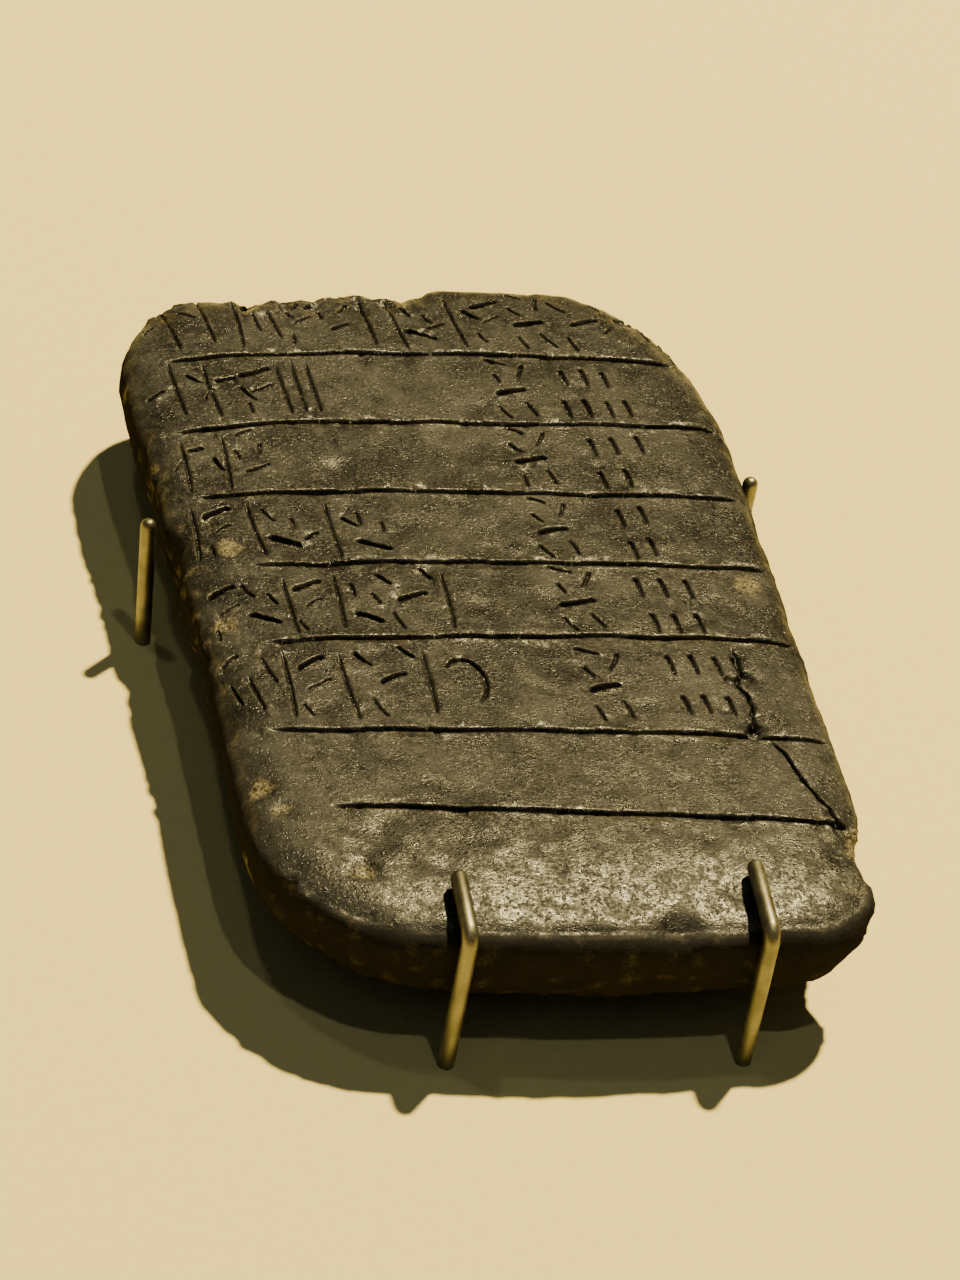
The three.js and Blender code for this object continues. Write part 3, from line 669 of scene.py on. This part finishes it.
def round_end(direction, radius):
    done = 0.0
    scale = 1.0
    for degrees in (30, 55, 75):
        turn = math.radians(degrees)
        step, size = radius * math.sin(turn) - done, math.cos(turn)
        extrude(*(step * v for v in direction))
        bpy.ops.transform.resize(value=(size / scale,) * 3)
        done += step
        scale = size


def start_wire(name, x, y):
    bpy.ops.object.select_all(action="DESELECT")
    bpy.ops.mesh.primitive_circle_add(
        vertices=WIRE_SIDES, radius=WIRE_RADIUS, fill_type="NGON", location=(x, y, 0))
    wire = bpy.context.object
    wire.name = name
    bpy.ops.object.transform_apply(location=True)
    bpy.ops.object.mode_set(mode="EDIT")
    bpy.ops.mesh.select_all(action="SELECT")
    return wire


def finish_wire(wire, node):
    bpy.ops.mesh.select_all(action="SELECT")
    bpy.ops.mesh.remove_doubles(threshold=0.001 * MM)
    bpy.ops.mesh.normals_make_consistent(inside=False)
    bpy.ops.object.mode_set(mode="OBJECT")
    wire.data.materials.append(wire_metal)
    only(wire)
    bpy.ops.object.shade_smooth_by_angle(angle=math.radians(50))
    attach(wire, "root")
    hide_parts(node)


# Satin brass, a little dulled in patches, with a fine drawn grain.
wire_metal, tree = new_material("satin_brass_wire")
place = add_node(tree, "ShaderNodeTexCoord").outputs["Object"]
grain = noise_map(tree, place, 0.25, 2, 0.5)
patches = noise_map(tree, place, 4, 3, 0.5)
colour = ramp(tree, patches, [(0.35, "#6f6d5b"), (0.65, "#8b8875")])
shine = ramp(tree, grain, [(0.3, 0.36), (0.7, 0.54)])
drawn = relief(tree, grain, 0.35, 0.05)
finish_surface(tree, {"Base Color": colour, "Metallic": 1.0, "Roughness": shine, "Normal": drawn})

for node in ("front_left_clip", "front_right_clip"):
    low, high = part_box(node)
    x, front = (low.x + high.x) / 2, low.y + WIRE_RADIUS
    top, tip = high.z - WIRE_RADIUS, high.y - WIRE_RADIUS
    clip = start_wire(node + "_wire", x, front)
    extrude(z=top - FINGER_RISE - BEND_RADIUS)
    bend_centre = (x, front + BEND_RADIUS, top - FINGER_RISE - BEND_RADIUS)
    bpy.ops.mesh.spin(steps=10, angle=math.radians(90), center=bend_centre, axis=(1, 0, 0))
    extrude(y=tip - front - BEND_RADIUS, z=FINGER_RISE)
    round_end((0, 1, 0), WIRE_RADIUS)
    finish_wire(clip, node)
for node in ("left_peg", "right_peg"):
    low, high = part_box(node)
    lean = (high.x - low.x) - 2 * WIRE_RADIUS
    leftwards = node == "left_peg"
    foot_x = high.x - WIRE_RADIUS if leftwards else low.x + WIRE_RADIUS
    peg = start_wire(node + "_wire", foot_x, (low.y + high.y) / 2)
    extrude(x=-lean if leftwards else 0.0, z=high.z - WIRE_RADIUS)
    round_end((0, 0, 1), WIRE_RADIUS)
    finish_wire(peg, node)


# The floor is one plain pale sheet of matt board. The object lies loose on it, and the sheet reaches far
# past it on every side.
bpy.ops.object.select_all(action="DESELECT")
bpy.ops.mesh.primitive_plane_add(size=6.0, location=(0, 0, 0))
floor = bpy.context.object
floor.name = "floor"
paper, tree = new_material("matt_cream_board")
place = add_node(tree, "ShaderNodeTexCoord").outputs["Object"]
tooth = noise_map(tree, place, 2, 4, 0.5)
colour = ramp(tree, tooth, [(0.3, "#eedd98"), (0.7, "#f3e3a2")])
toothed = relief(tree, tooth, 0.1, 0.1)
finish_surface(tree, {"Base Color": colour, "Roughness": 0.9, "Normal": toothed})
floor.data.materials.append(paper)


# The light is one warm lamp high up behind the object at the right, which throws the shadow to the front
# left. Two weak lamps and a wide soft one lift the shadows, in a dim room.
def add_light(name, towards, distance, size, power, colour):
    data = bpy.data.lights.new(name, "AREA")
    data.shape = "DISK"
    data.size = size
    data.energy = power
    data.color = linear(colour)[:3]
    lamp = bpy.data.objects.new(name, data)
    bpy.context.scene.collection.objects.link(lamp)
    direction = Vector(towards).normalized()
    lamp.location = direction * distance
    lamp.rotation_euler = direction.to_track_quat("Z", "Y").to_euler()


add_light("key", towards=(8.7, 10, 27.6), distance=3.0, size=0.12, power=244.0, colour="#fce4a2")
add_light("front_lamp", towards=(0.5, -8, 28), distance=2.0, size=0.06, power=2.4, colour="#e6ecd6")
add_light("left_lamp", towards=(-7, 5, 28), distance=2.0, size=0.1, power=1.4, colour="#e6ecd6")
add_light("front_fill", towards=(-10, -14, 16), distance=1.2, size=0.7, power=0.2, colour="#dcecf0")
world = bpy.data.worlds.new("dim_room")
world.use_nodes = True
world.node_tree.nodes["Background"].inputs["Color"].default_value = linear("#dcebee")
world.node_tree.nodes["Background"].inputs["Strength"].default_value = 0.02
bpy.context.scene.world = world
